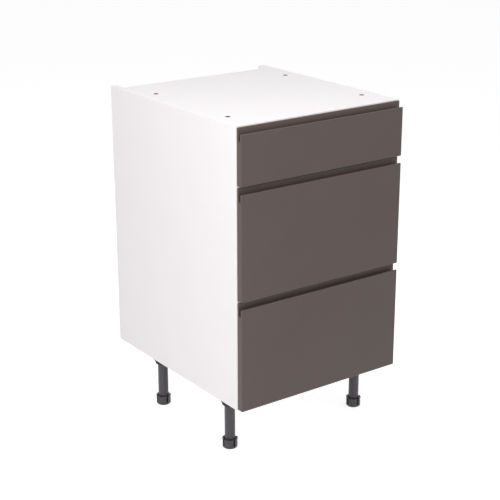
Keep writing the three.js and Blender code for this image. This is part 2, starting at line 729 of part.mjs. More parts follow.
// One drawer with its front, box and runners, in a group that stands at its front's lower edge.
function makeDrawer(name, frontBottom, frontHeight, isDeep) {
  const drawer = new THREE.Group();
  drawer.position.z = frontBottom;
  drawer.add(makeMesh(`${name}_drawer_front`, drawerFront(frontHeight), GREY_WRAP));
  const box = new THREE.Group();
  box.position.z = RUNNER_RISE;
  drawer.add(box);
  box.add(makeMesh(`${name}_drawer_base`, drawerBase(), WHITE_BOARD));
  const backTop = isDeep ? DEEP_BACK_TOP : SHALLOW_BACK_TOP;
  box.add(makeMesh(`${name}_drawer_back`, drawerBack(backTop), WHITE_BOARD));
  const side = isDeep ? steelSideWithUpright() : steelSide();
  for (const [hand, sign] of Object.entries(HANDS)) {
    const pieces = [
      makeMesh(`${name}_drawer_side_${hand}`, side, PAINTED_STEEL),
      makeMesh(`${name}_front_bracket_${hand}`, frontBracket(), ZINC_STEEL),
      makeMesh(`${name}_runner_cabinet_member_${hand}`, cabinetMember(), ZINC_STEEL),
      makeMesh(`${name}_runner_middle_member_${hand}`, middleMember(), ZINC_STEEL),
      makeMesh(`${name}_runner_drawer_member_${hand}`, drawerMember(), ZINC_STEEL),
    ];
    if (isDeep) {
      pieces.push(makeMesh(`${name}_gallery_rail_${hand}`, galleryRail(), PAINTED_STEEL));
    }
    for (const piece of pieces) {
      piece.scale.x = sign;
      box.add(piece);
    }
  }
  return drawer;
}

// ---------------------------------------------------------------- the cabinet

const cabinet = new THREE.Group();
cabinet.position.y = FRONT_THICKNESS + FRONT_STANDOFF - DEPTH_OVERALL / 2;

const bottomEdge = LEG_HEIGHT + FRONT_END_REVEAL;
const middleEdge = bottomEdge + DEEP_FRONT + FRONT_GAP;
const topEdge = middleEdge + DEEP_FRONT + FRONT_GAP;

cabinet.add(makeCarcass());
cabinet.add(makeLegs());
cabinet.add(makeDrawer("bottom", bottomEdge, DEEP_FRONT, true));
cabinet.add(makeDrawer("middle", middleEdge, DEEP_FRONT, true));
cabinet.add(makeDrawer("top", topEdge, SHALLOW_FRONT, false));

const part = new THREE.Group();
part.add(cabinet);

export default part;
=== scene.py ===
"""Gives a handleless kitchen base cabinet its finished look.

The cabinet is 500 mm wide, with one shallow and two deep drawers. Boards get their banded and
raw edges, the drawer fronts their routed J-pull, the folded steel its bends, and the legs their
moulded shape. Lengths in the code are metres, but the defaults that the settings are given, the
sizes and depths in the list of materials and names that end in _MM or _mm are millimetres.
"""

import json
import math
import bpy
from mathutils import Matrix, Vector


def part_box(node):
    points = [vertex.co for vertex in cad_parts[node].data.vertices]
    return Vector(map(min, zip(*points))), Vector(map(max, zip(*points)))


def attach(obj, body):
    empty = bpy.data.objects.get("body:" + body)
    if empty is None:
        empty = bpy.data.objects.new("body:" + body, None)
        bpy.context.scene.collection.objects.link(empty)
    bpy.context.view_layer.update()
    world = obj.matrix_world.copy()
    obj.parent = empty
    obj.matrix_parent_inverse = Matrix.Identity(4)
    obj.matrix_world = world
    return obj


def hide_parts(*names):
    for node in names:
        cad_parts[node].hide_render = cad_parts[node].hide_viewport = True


bl_info = {
    "name": "Base Cabinet with Drawers",
    "version": (1, 0, 0),
    "blender": (4, 5, 0),
    "location": "View3D > Sidebar > Cabinet",
    "description": "Finishes a handleless kitchen base cabinet piece by piece",
    "category": "Object",
}

import bmesh
import bpy
from bpy.props import FloatProperty, FloatVectorProperty, IntProperty, PointerProperty
from mathutils import Euler, Matrix, Vector

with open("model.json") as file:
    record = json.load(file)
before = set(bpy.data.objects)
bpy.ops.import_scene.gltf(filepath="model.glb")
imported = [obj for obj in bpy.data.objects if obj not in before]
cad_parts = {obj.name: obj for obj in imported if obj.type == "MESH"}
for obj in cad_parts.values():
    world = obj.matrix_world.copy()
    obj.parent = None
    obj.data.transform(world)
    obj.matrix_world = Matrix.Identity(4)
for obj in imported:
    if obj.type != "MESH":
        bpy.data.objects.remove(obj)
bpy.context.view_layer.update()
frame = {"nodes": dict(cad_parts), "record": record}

MM = 0.001
HANDS = {"left": -1, "right": 1}
LEG_PLACES = [f"{row}_{hand}" for row in ("front", "rear") for hand in HANDS]
DRAWERS = ("top", "middle", "bottom")
DEEP_DRAWERS = ("middle", "bottom")
DRAWER_SIDES = [(name, hand) for name in DRAWERS for hand in HANDS]

# Places nearer than this are one place, and an outline that turns less than this runs straight.
TINY = 1e-5
STRAIGHT = 1e-3

# How far from a fixing hole's axis its wall may lie.
BORE_REACH = 8 * MM

# Angles in degrees: corners that get rounded, creases that shading keeps, and flat enough to merge.
CORNER_ANGLE = 50
MOULDED_CORNER_ANGLE = 40
WRAP_CREASE = 35
MOULD_CREASE = 38
FOLD_CREASE = 40
RAIL_CREASE = 50
FLAT_ANGLE = 1

# How near a face's normal is to an axis: square on it, or at right angles to it.
SQUARE_ON = 0.9
ACROSS = 0.1

ROUNDING_STEPS = 2
FOLD_STEPS = 4
RAIL_SIDES = 40


# ---------- colours, settings and nodes ----------


def linear(code):
    """Turns an sRGB hex code into a linear colour with full alpha."""
    channels = [int(code[i : i + 2], 16) / 255 for i in (0, 2, 4)]
    curve = [c / 12.92 if c <= 0.04045 else ((c + 0.055) / 1.055) ** 2.4 for c in channels]
    return (*curve, 1.0)


def measure(name, description, millimetres):
    """A setting for a length."""
    return FloatProperty(name=name, description=description, default=millimetres * MM, unit="LENGTH")


def tint(name, description, code):
    """A setting for a colour, by its sRGB hex code."""
    limits = {"size": 4, "min": 0, "max": 1}
    return FloatVectorProperty(
        name=name, description=description, default=linear(code), subtype="COLOR", **limits
    )


def bearing(name, description, degrees):
    """A setting for an angle."""
    return FloatProperty(
        name=name, description=description, default=math.radians(degrees), subtype="ANGLE"
    )


def wattage(name, description, watts):
    """A setting for a lamp's power."""
    return FloatProperty(name=name, description=description, default=watts, unit="POWER")


def add(tree, kind, inputs=None, **settings):
    """Adds a node; an input is a value, another node's output, or a node for its first output."""
    made = tree.nodes.new(kind)
    for name, value in settings.items():
        setattr(made, name, value)
    for socket, value in (inputs or {}).items():
        if isinstance(value, bpy.types.Node):
            value = next(output for output in value.outputs if output.enabled)
        if isinstance(value, bpy.types.NodeSocket):
            tree.links.new(value, made.inputs[socket])
        else:
            made.inputs[socket].default_value = value
    return made


def start_material(name):
    """An empty material and its node tree."""
    material = bpy.data.materials.new(name)
    material.use_nodes = True
    material.node_tree.nodes.clear()
    return material, material.node_tree


def start_group(name, inputs, result):
    """A geometry tree with named inputs and one result, and the sockets that give its inputs."""
    tree = bpy.data.node_groups.new(name, "GeometryNodeTree")
    for label, kind in inputs.items():
        tree.interface.new_socket(label, in_out="INPUT", socket_type=f"NodeSocket{kind}")
    tree.interface.new_socket(result, in_out="OUTPUT", socket_type="NodeSocketGeometry")
    return tree, add(tree, "NodeGroupInput").outputs


def end_group(tree, shape, finish, result, selection=True):
    """Closes a geometry tree: its instances made real, and the finish set on the selection."""
    real = add(tree, "GeometryNodeRealizeInstances", {"Geometry": shape})
    painting = {"Geometry": real, "Selection": selection, "Material": finish}
    add(tree, "NodeGroupOutput", {result: add(tree, "GeometryNodeSetMaterial", painting)})
    return tree


# ---------- materials ----------


# Each material: the noise that clouds its colour and the two tones that this mixes, the noise of
# its skin and the skin's depth, its roughness as a noise's range, and the rest of its surface.
# A noise is its size, its detail and how it is scaled along X, Y and Z. A pattern that is too fine
# to show at its real size is drawn coarser, and the comment on its material says so.
MATERIALS = {
    # Resin-soaked paper pressed on chipboard: hard, satin, with a faint pearl texture that is
    # drawn coarser than the real one.
    "melamine_faced_board": {
        "cloud": (90, 3), "tones": (0.985, 1.0), "skin": (2.4, 2), "depth": 0.03,
        "roughness": ("skin", 0.4, 0.5), "surface": {"IOR": 1.5},
    },
    # ABS edging glued on and trimmed flush: as white as the face but smoother, with trimming lines
    # that are drawn coarser than the real ones.
    "abs_edge_band": {
        "cloud": (1.2, 2, (1.0, 1.0, 0.08)), "tones": (0.97, 1.0),
        "roughness": ("cloud", 0.32, 0.42), "surface": {"IOR": 1.53},
    },
    # A sawn chipboard core: flakes a few millimetres long between dark pores.
    "raw_chipboard": {
        "flakes": 2.6, "tones": (0.62, 1.2), "skin": (1.1, 4), "depth": 0.25,
        "surface": {"Roughness": 0.9, "IOR": 1.45},
    },
    # The wall of a drilled hole: chipboard painted nearly black, a painted shade that stands in for
    # the shadow
    #     # inside the hole, in rings that are drawn coarser than the bit leaves them.
    "drill_scorched_chipboard": {
        "cloud": (1.5, 3, (0.2, 0.2, 1.0)), "tones": (0.6, 1.0), "depth": 0.1,
        "surface": {"Roughness": 0.85, "IOR": 1.45},
    },
    # Matt vinyl pulled over routed MDF: very even, with a low silky sheen. The film's fine grain
    # is drawn coarser.
    "vinyl_wrapped_mdf": {
        "cloud": (160, 2), "tones": (0.965, 1.03), "skin": (1.8, 2), "depth": 0.02,
        "roughness": ("skin", 0.42, 0.5), "surface": {"IOR": 1.46},
    },
    # The plain melamine on a front's back: the wrap's colour, a little flatter, with its pearl
    # drawn coarser as on the boards.
    "colour_matched_backing": {
        "cloud": (2.4, 2), "tones": (0.97, 1.0), "depth": 0.03,
        "surface": {"Roughness": 0.6, "IOR": 1.5},
    },
    # Injection-moulded ABS: a soft gloss, flow marks and a fine spark-eroded skin, whose pits are
    # drawn coarser.
    "moulded_abs": {
        "cloud": (14, 2, (1.0, 1.0, 0.3)), "tones": (0.92, 1.06), "skin": (0.9, 1), "depth": 0.03,
        "roughness": ("cloud", 0.34, 0.42), "surface": {"IOR": 1.54},
    },
    # Glass-filled polypropylene of the load-bearing sockets: duller than the tubes, and blacker,
    # partly as
    #     # painted shade that stands in for the deep shadow under the base panel, with its fibres'
    #     roughness drawn coarser too.
    "filled_polypropylene": {
        "cloud": (9, 3), "tones": (0.85, 1.15), "skin": (0.9, 2), "depth": 0.04,
        "roughness": ("skin", 0.5, 0.62), "surface": {"IOR": 1.49},
    },
    # Rolled steel strip with bright zinc: a cool cast and long faint rolling lines, which are
    # drawn wider than real ones.
    "zinc_plated_steel": {
        "cloud": (35, 3), "tones": (0.9, 1.0), "skin": (2.2, 3, (1.0, 0.03, 1.0)), "depth": 0.02,
        "roughness": ("skin", 0.26, 0.4), "surface": {"Metallic": 1.0},
    },
    # Baked powder paint over folded steel: a low orange peel and an even satin.
    "powder_coated_steel": {
        "cloud": (120, 2), "tones": (0.97, 1.02), "skin": (2.0, 1), "depth": 0.05,
        "roughness": ("skin", 0.36, 0.46), "surface": {"IOR": 1.5},
    },
    # The deep cross recess of a screw, where plating oil and shadow gather.
    "shadowed_recess": {
        "cloud": (0.8, 2), "tones": (0.8, 1.0), "surface": {"Roughness": 0.55, "Metallic": 0.6},
    },
}

# A noise's middle half, which a range is spread over.
MIDDLE_HALF = {"From Min": 0.25, "From Max": 0.75}

# Sockets by number, because others of their node have the same name: the two colours that a
# mixing node mixes, and the two whole numbers that a comparing node compares.
MIX_DARK, MIX_LIGHT = 6, 7
COMPARE_FIRST, COMPARE_SECOND = 2, 3


def noise(tree, size_mm, detail, scale=(1.0, 1.0, 1.0)):
    """A soft noise whose blobs are so many millimetres across."""
    place = add(tree, "ShaderNodeTexCoord").outputs["Object"]
    mapped = add(tree, "ShaderNodeMapping", {"Vector": place, "Scale": scale})
    settings = {"Vector": mapped, "Scale": 1 / (size_mm * MM), "Detail": detail}
    return add(tree, "ShaderNodeTexNoise", settings)


def flakes(tree, size_mm):
    """A tone of its own for each flake of wood."""
    place = add(tree, "ShaderNodeTexCoord").outputs["Object"]
    settings = {"Vector": place, "Scale": 1 / (size_mm * MM), "Randomness": 1.0}
    cells = add(tree, "ShaderNodeTexVoronoi", settings).outputs["Color"]
    return add(tree, "ShaderNodeSeparateColor", {"Color": cells}).outputs["Red"]


def make_material(name, colour):
    """One of the materials above, in its colour."""
    look = MATERIALS[name]
    material, tree = start_material(name)
    cloud = flakes(tree, look["flakes"]) if "flakes" in look else noise(tree, *look["cloud"])
    noises = {"cloud": cloud, "skin": noise(tree, *look["skin"]) if "skin" in look else cloud}
    dark, light = [(*(channel * tone for channel in colour[:3]), 1.0) for tone in look["tones"]]
    factor = add(tree, "ShaderNodeMapRange", {"Value": cloud, **MIDDLE_HALF})
    mixing = {"Factor": factor, MIX_DARK: dark, MIX_LIGHT: light}
    surface = {**look["surface"], "Base Color": add(tree, "ShaderNodeMix", mixing, data_type="RGBA")}
    if "roughness" in look:
        source, low, high = look["roughness"]
        limits = {"Value": noises[source], **MIDDLE_HALF, "To Min": low, "To Max": high}
        surface["Roughness"] = add(tree, "ShaderNodeMapRange", limits)
    if "depth" in look:
        relief = {"Height": noises["skin"], "Distance": look["depth"] * MM}
        surface["Normal"] = add(tree, "ShaderNodeBump", relief)
    finish = add(tree, "ShaderNodeBsdfPrincipled", surface)
    add(tree, "ShaderNodeOutputMaterial", {"Surface": finish})
    return material


# ---------- meshes ----------


def mesh_from(shape, name):
    """A mesh with the shape's doubles merged and its faces pointing out."""
    bmesh.ops.remove_doubles(shape, verts=shape.verts, dist=TINY / 2)
    bmesh.ops.dissolve_degenerate(shape, edges=shape.edges, dist=TINY / 2)
    bmesh.ops.recalc_face_normals(shape, faces=shape.faces)
    mesh = bpy.data.meshes.new(name)
    shape.to_mesh(mesh)
    shape.free()
    return mesh


def skin(shape, rings):
    """The faces between each closed ring of corners and the next one."""
    count = len(rings[0])
    faces = []
    for ring, following in zip(rings, rings[1:]):
        for i in range(count):
            j = (i + 1) % count
            faces.append(shape.faces.new((ring[i], ring[j], following[j], following[i])))
    return faces


def settle(piece):
    """Turns a piece's modifiers into plain mesh."""
    graph = bpy.context.evaluated_depsgraph_get()
    baked = bpy.data.meshes.new_from_object(piece.evaluated_get(graph))
    piece.modifiers.clear()
    rough = piece.data
    piece.data = baked
    bpy.data.meshes.remove(rough)


def smooth(piece, crease):
    """Smooth shading that keeps flat faces flat and corners past the crease angle sharp."""
    piece.data.shade_smooth()
    piece.data.set_sharp_from_angle(angle=math.radians(crease))
    weighted = piece.modifiers.new("Flat faces", "WEIGHTED_NORMAL")
    weighted.keep_sharp = True
    settle(piece)


def soften(piece, width, corner=CORNER_ANGLE, limit="ANGLE"):
    """Rounds a piece's corner edges a little, as sanding, trimming or moulding does."""
    rounding = piece.modifiers.new("Soft edges", "BEVEL")
    rounding.width = width
    rounding.segments = ROUNDING_STEPS
    rounding.limit_method = limit
    rounding.angle_limit = math.radians(corner)
    rounding.use_clamp_overlap = True
    settle(piece)


def make_piece(name, mesh, materials=()):
    """An object for a mesh, at the origin, in the scene."""
    for material in materials:
        mesh.materials.append(material)
    piece = bpy.data.objects.new(name, mesh)
    bpy.context.scene.collection.objects.link(piece)
    return piece


def seat(piece, body, slot, *nodes):
    """Fixes a finished piece to its body, in place of the nodes that it stands for."""
    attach(piece, body)
    if nodes:
        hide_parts(*nodes)


def body_of(node):
    """The body that a node belongs to."""
    bodies = frame["record"]["behaviour"]["bodies"]
    return next(body for body, nodes in bodies.items() if node in nodes)


def finish_piece(piece, node, slot, crease):
    """Shades a finished piece and seats it in place of its node."""
    smooth(piece, crease)
    seat(piece, body_of(node), slot, node)


def upright_sizes(node):
    """The middle of a round node's foot, its radius and its height."""
    low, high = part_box(node)
    middle = (low + high) / 2
    return Vector((middle.x, middle.y, low.z)), (high.x - low.x) / 2, high.z - low.z


def merged_copy_of(node):
    """A copy of a node's solid with its loose triangles joined."""
    shape = bmesh.new()
    shape.from_mesh(frame["nodes"][node].data)
    bmesh.ops.remove_doubles(shape, verts=shape.verts, dist=TINY)
    return shape


def copy_of(node):
    """A copy of a node's solid with its flat faces made whole."""
    shape = merged_copy_of(node)
    flat = math.radians(FLAT_ANGLE)
    bmesh.ops.dissolve_limit(shape, angle_limit=flat, verts=shape.verts, edges=shape.edges)
    return shape


# ---------- boards ----------


LAMINATE, BAND, CORE, BORE = range(4)


def bore_centres():
    """Where the fixing holes pass through the top and base panels: on the legs' axes."""
    return [upright_sizes(f"leg_socket_{place}")[0].xy for place in LEG_PLACES]


def board_zone(face, low, high, faced, banded, bores):
    """Whether a board's face is laminate, edge band, raw core or the wall of a hole."""
    centre = face.calc_center_median()
    is_wall = abs(face.normal.z) < ACROSS
    if is_wall and any((centre.xy - bore).length < BORE_REACH for bore in bores):
        return BORE
    for axis in range(3):
        for side, edge in ((-1, low[axis]), (1, high[axis])):
            at_edge = abs(centre[axis] - edge) < TINY and face.normal[axis] * side > SQUARE_ON
            if at_edge and axis == faced:
                return LAMINATE
            if at_edge and (axis, side) in banded:
                return BAND
    return CORE


def countersink(shape, depth):
    """Cuts a small countersink round each drilled hole, where the laminate would chip."""
    rims = [
        edge for edge in shape.edges
        if {face.material_index for face in edge.link_faces} == {BORE, LAMINATE}
    ]
    if rims:
        cut = {"offset": depth, "segments": 1, "affect": "EDGES", "clamp_overlap": True}
        # The countersink's faces take the bore's near-black painted shade.
        bmesh.ops.bevel(shape, geom=rims, material=BORE, **cut)


def mark_trimmed_edges(shape):
    """Marks a board's corners for rounding, and leaves the drilled holes' rims crisp."""
    trimmed = shape.edges.layers.float.new("bevel_weight_edge")
    for edge in shape.edges:
        at_bore = any(face.material_index == BORE for face in edge.link_faces)
        if edge.is_manifold and not at_bore and edge.calc_face_angle() > math.radians(CORNER_ANGLE):
            edge[trimmed] = 1.0


def make_board(node, faced, banded, materials, settings, slot, bores=()):
    """A faced board: laminate on its two wide faces, bands on the named edges."""
    low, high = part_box(node)
    shape = copy_of(node)
    for face in shape.faces:
        face.material_index = board_zone(face, low, high, faced, banded, bores)
    countersink(shape, settings.countersink)
    mark_trimmed_edges(shape)
    board = make_piece(f"{node}_faced", mesh_from(shape, node), materials)
    soften(board, settings.edge_radius, limit="WEIGHT")
    seat(board, body_of(node), slot, node)


class BoardSettings(bpy.types.PropertyGroup):
    """Sizes and colours of the faced boards."""

    edge_radius: measure("Edge radius", "How far a trimmed board edge is rounded", 0.5)
    countersink: measure("Countersink", "Depth of the countersink round a fixing hole", 1.2)
    face_colour: tint("Face", "Colour of the melamine face", "f1edef")
    drawer_colour: tint("Drawer board", "Colour of the drawers' boards", "e9e8e6")
    core_colour: tint("Core", "Colour of the sawn chipboard", "b08a5f")
    # Near black: painted shade that stands in for the shadow inside the drilled holes.
    bore_shade_colour: tint("Bore", "Colour of a drilled hole's wall", "0c0a09")


class CABINET_OT_boards(bpy.types.Operator):
    """Finish the carcass panels and the drawers' bases and backs as faced boards"""

    bl_idname = "cabinet.boards"
    bl_label = "Finish Boards"

    def execute(self, context):
        settings = context.scene.cabinet_boards
        core = make_material("raw_chipboard", settings.core_colour)
        carcass = [
            make_material("melamine_faced_board", settings.face_colour),
            make_material("abs_edge_band", settings.face_colour),
            core,
            make_material("drill_scorched_chipboard", settings.bore_shade_colour),
        ]
        drawer = [
            make_material("melamine_faced_board", settings.drawer_colour),
            make_material("abs_edge_band", settings.drawer_colour),
            core,
        ]
        across, along, up = range(3)
        front, bottom, top, rear = (along, -1), (up, -1), (up, 1), (along, 1)
        left, right = (across, -1), (across, 1)
        for hand in HANDS:
            edges = {front, bottom, top}
            make_board(f"side_panel_{hand}", across, edges, carcass, settings, "white_board")
        for node in ("base_panel", "top_panel"):
            edges = {front, left, right}
            make_board(node, up, edges, carcass, settings, "white_board", bore_centres())
        make_board("back_panel", along, set(), carcass, settings, "white_board")
        for name in DRAWERS:
            make_board(f"{name}_drawer_base", up, {rear}, drawer, settings, "drawer_board")
            make_board(f"{name}_drawer_back", along, {top}, drawer, settings, "drawer_board")
        return {"FINISHED"}


# ---------- drawer fronts ----------


def round_outline(corners, steps):
    """Points round a closed outline of [x, y, radius] corners, each with the same count."""
    points = []
    for i, (x, y, radius) in enumerate(corners):
        here = Vector((x, y))
        to_before = (Vector(corners[i - 1][:2]) - here).normalized()
        to_after = (Vector(corners[(i + 1) % len(corners)][:2]) - here).normalized()
        half_angle = to_before.angle(to_after) / 2
        reach = radius / math.tan(half_angle)
        start = to_before * reach
        end = to_after * reach
        centre = (to_before + to_after).normalized() * radius / math.sin(half_angle)
        sweep = (start - centre).angle_signed(end - centre)
        for step in range(steps + 1):
            turn = Matrix.Rotation(-sweep * step / steps, 2)
            points.append(here + centre + turn @ (start - centre))
    return points


def inset(radius, distance):
    """How far an edge of that radius has drawn in at a distance from the end."""
    return radius - math.sqrt(radius**2 - (radius - distance) ** 2) if distance < radius else 0.0


# The groove's floor is nearly a half circle: each corner's radius as a share of its width.
GROOVE_FLOOR = 0.48


def pull_profile(settings, height, rear, distance):
    """The front's section at a distance from its end, as points of depth and height."""
    drawn_in, rounding = {}, {}
    for edge in ("rear", "face", "lip", "web"):
        radius = getattr(settings, f"{edge}_radius")
        drawn_in[edge] = inset(radius, distance)
        rounding[edge] = max(radius - drawn_in[edge], TINY)
    web = rear - settings.web_thickness
    lip_top = height - settings.lip_drop
    rear_line = rear - drawn_in["rear"]
    bottom_line = drawn_in["face"]
    face_line = rear - settings.thickness + drawn_in["face"]
    lip_line = lip_top - drawn_in["lip"]
    lip_back_line = web - settings.groove_width - drawn_in["web"]
    groove_line = lip_top - settings.finger_depth - drawn_in["web"]
    web_line = web + drawn_in["web"]
    top_line = height - drawn_in["web"]
    groove_round = settings.groove_width * GROOVE_FLOOR + drawn_in["web"]
    return round_outline(
        [
            (rear_line, bottom_line, rounding["rear"]),
            (face_line, bottom_line, rounding["face"]),
            (face_line, lip_line, rounding["lip"]),
            (lip_back_line, lip_line, rounding["lip"]),
            (lip_back_line, groove_line, groove_round),
            (web_line, groove_line, groove_round),
            (web_line, top_line, rounding["web"]),
            (rear_line, top_line, rounding["rear"]),
        ],
        settings.arc_steps,
    )


def sweep_front(node, settings):
    """A front's closed shape: its section carried from end to end, drawn in at both ends."""
    low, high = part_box(node)
    height = high.z - low.z
    steps = settings.arc_steps
    turns = [math.pi / 2 * i / steps for i in range(steps + 1)]
    distances = [settings.face_radius * (1 - math.cos(turn)) for turn in turns]
    stations = [(low.x + d, d) for d in distances]
    stations += [(high.x - d, d) for d in reversed(distances)]
    shape = bmesh.new()
    rings = []
    for x, distance in stations:
        profile = pull_profile(settings, height, high.y, distance)
        rings.append([shape.verts.new((x, y, low.z + z)) for y, z in profile])
    skin(shape, rings)
    shape.faces.new(rings[0])
    shape.faces.new(rings[-1])
    return shape


class FrontSettings(bpy.types.PropertyGroup):
    """Sizes and colours of the J-pull drawer fronts."""

    thickness: measure("Thickness", "Thickness of the front", 18)
    web_thickness: measure("Web", "Thickness of the web behind the groove", 4)
    groove_width: measure("Groove width", "Width of the finger groove", 8.5)
    lip_drop: measure("Lip drop", "How far the lip ends below the web", 14)
    finger_depth: measure("Finger depth", "Depth of the groove behind the lip", 20)
    face_radius: measure("Face radius", "Rounding of the face's edges", 2.2)
    lip_radius: measure("Lip radius", "Rounding of the lip's top", 2.6)
    web_radius: measure("Web radius", "Rounding of the web's top", 1.5)
    rear_radius: measure("Rear radius", "Rounding of the back's edges", 0.8)
    arc_steps: IntProperty(
        name="Arc steps", description="Faces along each rounding", default=6, min=2
    )
    wrap_colour: tint("Wrap", "Colour of the vinyl wrap", "514541")


class CABINET_OT_fronts(bpy.types.Operator):
    """Make the three wrapped fronts with their J-pull grooves"""

    bl_idname = "cabinet.fronts"
    bl_label = "Make Drawer Fronts"

    def execute(self, context):
        settings = context.scene.cabinet_fronts
        finishes = [
            make_material("vinyl_wrapped_mdf", settings.wrap_colour),
            make_material("colour_matched_backing", settings.wrap_colour),
        ]
        for name in DRAWERS:
            node = f"{name}_drawer_front"
            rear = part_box(node)[1].y
            mesh = mesh_from(sweep_front(node, settings), node)
            front = make_piece(f"{node}_wrapped", mesh, finishes)
            for face in mesh.polygons:
                face.material_index = 1 if abs(face.center.y - rear) < TINY else 0
            finish_piece(front, node, "front_wrap", WRAP_CREASE)
        return {"FINISHED"}


# ---------- swept sections ----------


def end_loop(node, axis, side):
    """The outline of a node's flat end, as 2D points in order, and the end's place.

    Side -1 is the low end along the axis, and 1 the high end.
    """
    plane = [i for i in range(3) if i != axis]
    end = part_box(node)[(side + 1) // 2][axis]
    shape = merged_copy_of(node)
    flat = [f for f in shape.faces if all(abs(v.co[axis] - end) < TINY for v in f.verts)]
    rim = [e for f in flat for e in f.edges if sum(g in flat for g in e.link_faces) == 1]
    start = rim[0].verts[0]
    loop = [start]
    edge = rim[0]
    while True:
        following = edge.other_vert(loop[-1])
        if following is start:
            break
        loop.append(following)
        edge = next(e for e in rim if e is not edge and following in e.verts)
    points = [Vector((v.co[plane[0]], v.co[plane[1]])) for v in loop]
    shape.free()
    return without_straight(points), end


def corners_of(points):
    """Each point of a closed outline, with the ways into it and out of it."""
    following = points[1:] + points[:1]
    return [(here, here - points[i - 1], following[i] - here) for i, here in enumerate(points)]


def without_straight(points):
    """The points of a closed outline where it turns."""
    return [
        here for here, into, out in corners_of(points)
        if abs(into.normalized().cross(out.normalized())) > STRAIGHT
    ]


# A sheared sheet edge is as long as the sheet is thick, and gets a small part of that as radius.
SHEARED_EDGE = 1.05
SHEARED_RADIUS = 0.2


def fold_radii(points, inner, sheet):
    """A radius for each corner: inner or outer side of a fold, or a sheared sheet edge."""
    area = sum(points[i - 1].cross(here) for i, here in enumerate(points))
    turn = 1 if area > 0 else -1
    radii = []
    for _, into, out in corners_of(points):
        is_outside = into.cross(out) * turn > 0
        at_sheared_edge = min(into.length, out.length) < SHEARED_EDGE * sheet
        if at_sheared_edge and is_outside:
            radii.append(sheet * SHEARED_RADIUS)
        else:
            radii.append(inner + sheet if is_outside else inner)
    return radii


def section_tree():
    """Fills a closed outline with rounded corners and pulls it up into a solid bar."""
    inputs = {"Outline": "Geometry", "Length": "Float", "Fold steps": "Int", "Finish": "Material"}
    tree, given = start_group("Pulled section", inputs, "Bar")
    line = add(tree, "GeometryNodeMeshToCurve", {"Mesh": given["Outline"]})
    radius = add(tree, "GeometryNodeInputNamedAttribute", {"Name": "fold"}, data_type="FLOAT")
    fold = {"Curve": line, "Count": given["Fold steps"], "Radius": radius, "Limit Radius": True}
    rounded = add(tree, "GeometryNodeFilletCurve", fold, mode="POLY")
    flat = add(tree, "GeometryNodeFillCurve", {"Curve": rounded}, mode="NGONS")
    way = add(tree, "ShaderNodeCombineXYZ", {"Z": given["Length"]})
    pull = {"Mesh": flat, "Offset": way, "Individual": False}
    raised = add(tree, "GeometryNodeExtrudeMesh", pull, mode="FACES")
    floor = add(tree, "GeometryNodeFlipFaces", {"Mesh": flat})
    joined = add(tree, "GeometryNodeJoinGeometry")
    tree.links.new(raised.outputs["Mesh"], joined.inputs["Geometry"])
    tree.links.new(floor.outputs["Mesh"], joined.inputs["Geometry"])
    merged = add(tree, "GeometryNodeMergeByDistance", {"Geometry": joined, "Distance": TINY})
    return end_group(tree, merged, given["Finish"], "Bar")


def run_tree(piece, tree, values):
    """Runs a node tree on a piece with the named inputs, and keeps only its result."""
    modifier = piece.modifiers.new(tree.name, "NODES")
    modifier.node_group = tree
    for socket in tree.interface.items_tree:
        if socket.in_out == "INPUT" and socket.name in values:
            modifier[socket.identifier] = values[socket.name]
    settle(piece)


# Local X, Y and Z of a pulled section, as columns, for a section drawn across each axis.
PULLED_UP = Matrix(((1, 0, 0), (0, 1, 0), (0, 0, 1)))
PULLED_FORWARD = Matrix(((1, 0, 0), (0, 0, -1), (0, 1, 0)))


def pulled_bar(name, tree, points, radii, reach, turn, start, finish):
    """A bar of a rounded section, in place."""
    outline = bpy.data.meshes.new(name)
    count = len(points)
    edges = [(i, (i + 1) % count) for i in range(count)]
    outline.from_pydata([(p.x, p.y, 0) for p in points], edges, [])
    fold = outline.attributes.new("fold", "FLOAT", "POINT")
    fold.data.foreach_set("value", radii)
    bar = make_piece(name, outline)
    run_tree(bar, tree, {"Length": reach, "Fold steps": FOLD_STEPS, "Finish": finish})
    bar.data.transform(Matrix.Translation(start) @ turn.to_4x4())
    shape = bmesh.new()
    shape.from_mesh(bar.data)
    bmesh.ops.recalc_face_normals(shape, faces=shape.faces)
    shape.to_mesh(bar.data)
    shape.free()
    return bar


def folded_piece(node, tree, settings, finish):
    """A node's folded section pulled from its rear end to its front end."""
    points, front = end_loop(node, 1, -1)
    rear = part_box(node)[1].y
    radii = fold_radii(points, settings.fold_radius, settings.sheet)
    start = Vector((0, rear, 0))
    name = f"{node}_folded"
    return pulled_bar(name, tree, points, radii, rear - front, PULLED_FORWARD, start, finish)


def join(piece, other):
    """Takes another piece's mesh into the first one."""
    shape = bmesh.new()
    shape.from_mesh(piece.data)
    shape.from_mesh(other.data)
    shape.to_mesh(piece.data)
    shape.free()
    bpy.data.objects.remove(other)


class SteelSettings(bpy.types.PropertyGroup):
    """Sizes and colours of the folded steel and the rails."""

    sheet: measure("Sheet", "Thickness of the folded sides and runners", 1.2)
    upright_sheet: measure("Upright sheet", "Thickness of a side's rear upright", 1.6)
    upright_foot: measure("Upright foot", "Height of the upright's foot above the side's", 37)
    bracket_sheet: measure("Bracket sheet", "Thickness of a front bracket", 1.5)
    fold_radius: measure("Fold radius", "Inner radius of a fold", 0.7)
    coat_colour: tint("Coat", "Colour of the powder coat", "8d9092")
    plate_colour: tint("Plating", "Colour of the zinc plating", "c3c7cc")


class CABINET_OT_runners(bpy.types.Operator):
    """Make the three folded members of each full-extension runner"""

    bl_idname = "cabinet.runners"
    bl_label = "Make Runners"

    def execute(self, context):
        settings = context.scene.cabinet_steel
        finish = make_material("zinc_plated_steel", settings.plate_colour)
        tree = section_tree()
        for name, hand in DRAWER_SIDES:
            for member in ("cabinet", "middle", "drawer"):
                node = f"{name}_runner_{member}_member_{hand}"
                piece = folded_piece(node, tree, settings, finish)
                finish_piece(piece, node, "runner_zinc", FOLD_CREASE)
        return {"FINISHED"}


